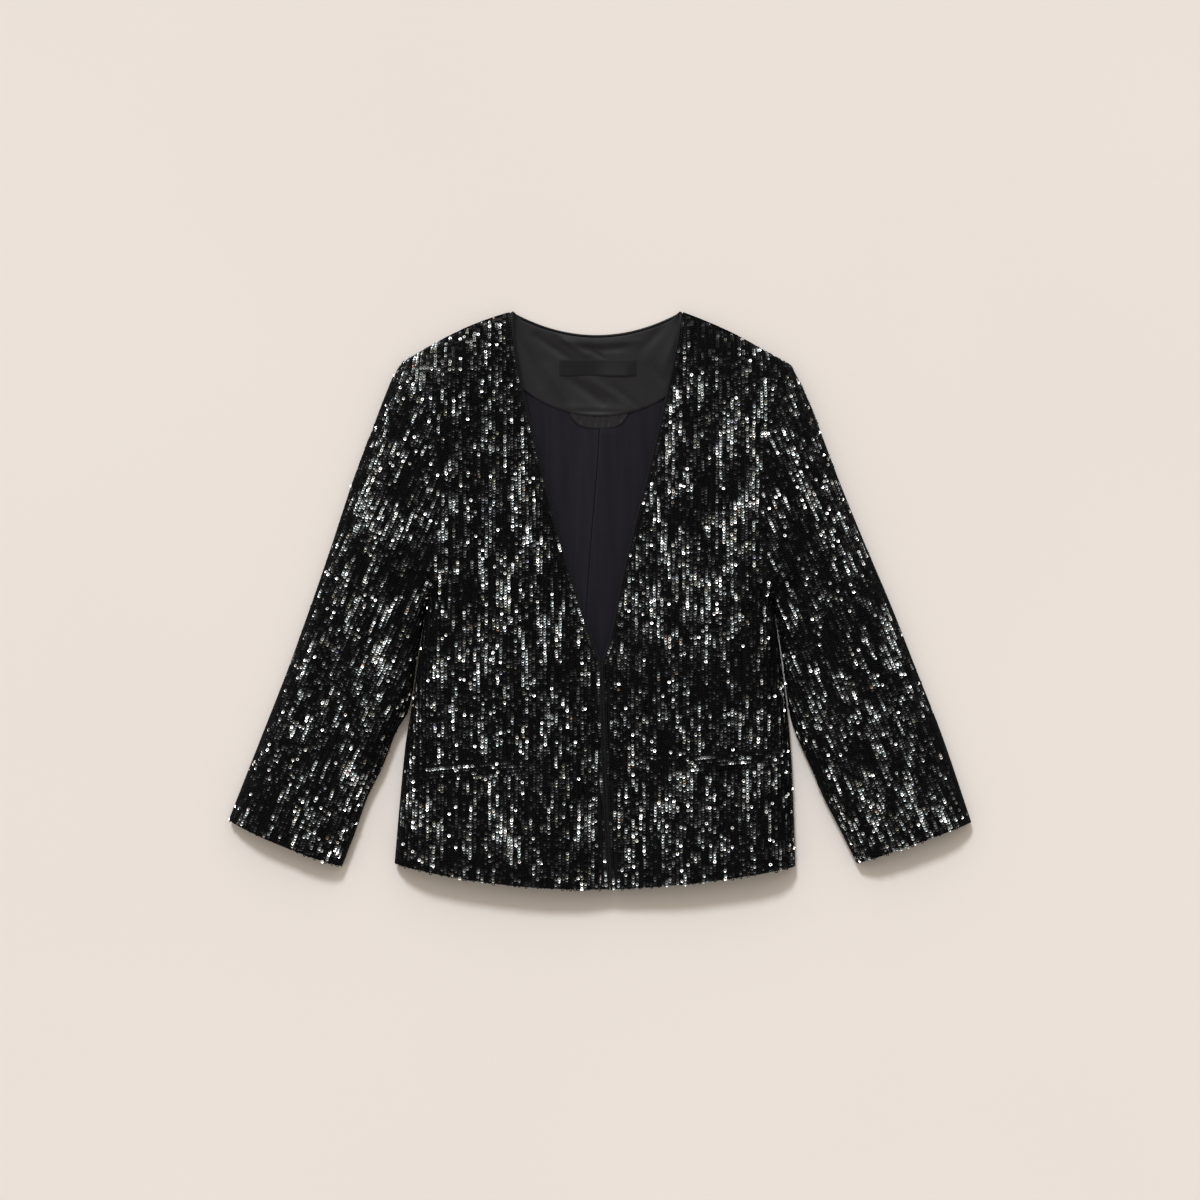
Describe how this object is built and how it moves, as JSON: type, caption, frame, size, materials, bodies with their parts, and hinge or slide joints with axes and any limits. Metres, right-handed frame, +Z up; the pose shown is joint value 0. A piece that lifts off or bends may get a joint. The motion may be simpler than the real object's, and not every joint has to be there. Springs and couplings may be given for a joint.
{
  "type": "cropped sequin jacket, laid flat",
  "caption": "Collarless cropped jacket of black sequin cloth with three-quarter sleeves, satin piping and low pocket welts, laid flat on its back with the V neck open.",
  "frame": {"origin": "centre of the jacket's outline, on the surface it lies on", "axes": "+X to the wearer's left across the sleeves, +Y from the hem to the neck, +Z up from the surface, out of the fronts"},
  "size_m": [0.742, 0.5762, 0.0298],
  "materials": {
    "sequin_cloth": "black ground covered in rows of glossy black and steel-grey cup sequins",
    "satin": "black satin, softly shining",
    "lining": "dark violet-grey lining cloth, fine twill, matt",
    "label_satin": "woven black satin label, bare"
  },
  "bodies": {
    "root": {"back": "sequin_cloth", "front_right": "sequin_cloth", "front_left": "sequin_cloth", "sleeve_right": "sequin_cloth", "sleeve_left": "sequin_cloth", "pocket_welt_right": "sequin_cloth", "pocket_welt_left": "sequin_cloth", "piping_front_right": "satin", "piping_front_left": "satin", "piping_back_neck": "satin", "neck_facing": "satin", "back_lining": "lining", "label": "label_satin", "hanging_loop": "satin"}
  },
  "joints": []
}
